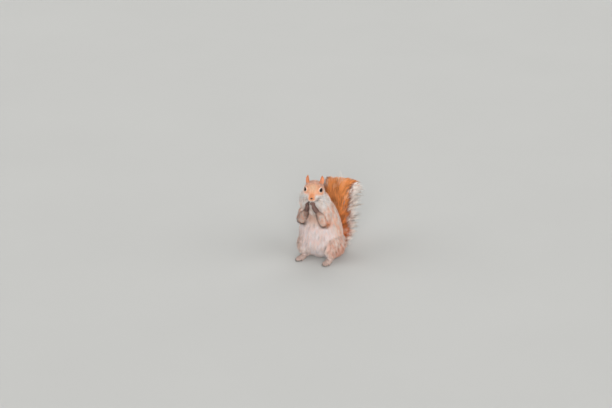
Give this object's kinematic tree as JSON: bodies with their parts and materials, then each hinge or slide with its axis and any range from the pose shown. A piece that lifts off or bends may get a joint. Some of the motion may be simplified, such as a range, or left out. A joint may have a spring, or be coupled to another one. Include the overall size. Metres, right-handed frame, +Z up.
{
  "type": "squirrel",
  "caption": "Life-size squirrel sitting upright on its haunches, forepaws held together at its mouth, with a bushy tail raised behind its back and curling away at the top.",
  "frame": {"origin": "on the small flat under the rump, below the middle of the body, in the plane that the animal sits on", "axes": "+Z up, -Y the way the animal faces, +X its own left; the tail is on the +Y side"},
  "size_m": [0.1206, 0.2006, 0.1881],
  "materials": {
    "face_fur": "short fur",
    "pale_fur": "soft fur",
    "limb_fur": "short fur",
    "tail_fur": "long banded hair",
    "eye": "wet gloss"
  },
  "bodies": {
    "root": {"head": "face_fur", "ear_left": "face_fur", "ear_right": "face_fur", "eye_left": "eye", "eye_right": "eye", "neck": "pale_fur", "trunk": "pale_fur", "upper_arm_left": "limb_fur", "upper_arm_right": "limb_fur", "forearm_left": "limb_fur", "forearm_right": "limb_fur", "hand_left": "limb_fur", "hand_right": "limb_fur", "thigh_left": "limb_fur", "thigh_right": "limb_fur", "shank_left": "limb_fur", "shank_right": "limb_fur", "hind_foot_left": "limb_fur", "hind_foot_right": "limb_fur", "tail_base": "tail_fur", "tail_lower": "tail_fur", "tail_upper": "tail_fur", "tail_tip": "tail_fur"}
  },
  "joints": []
}
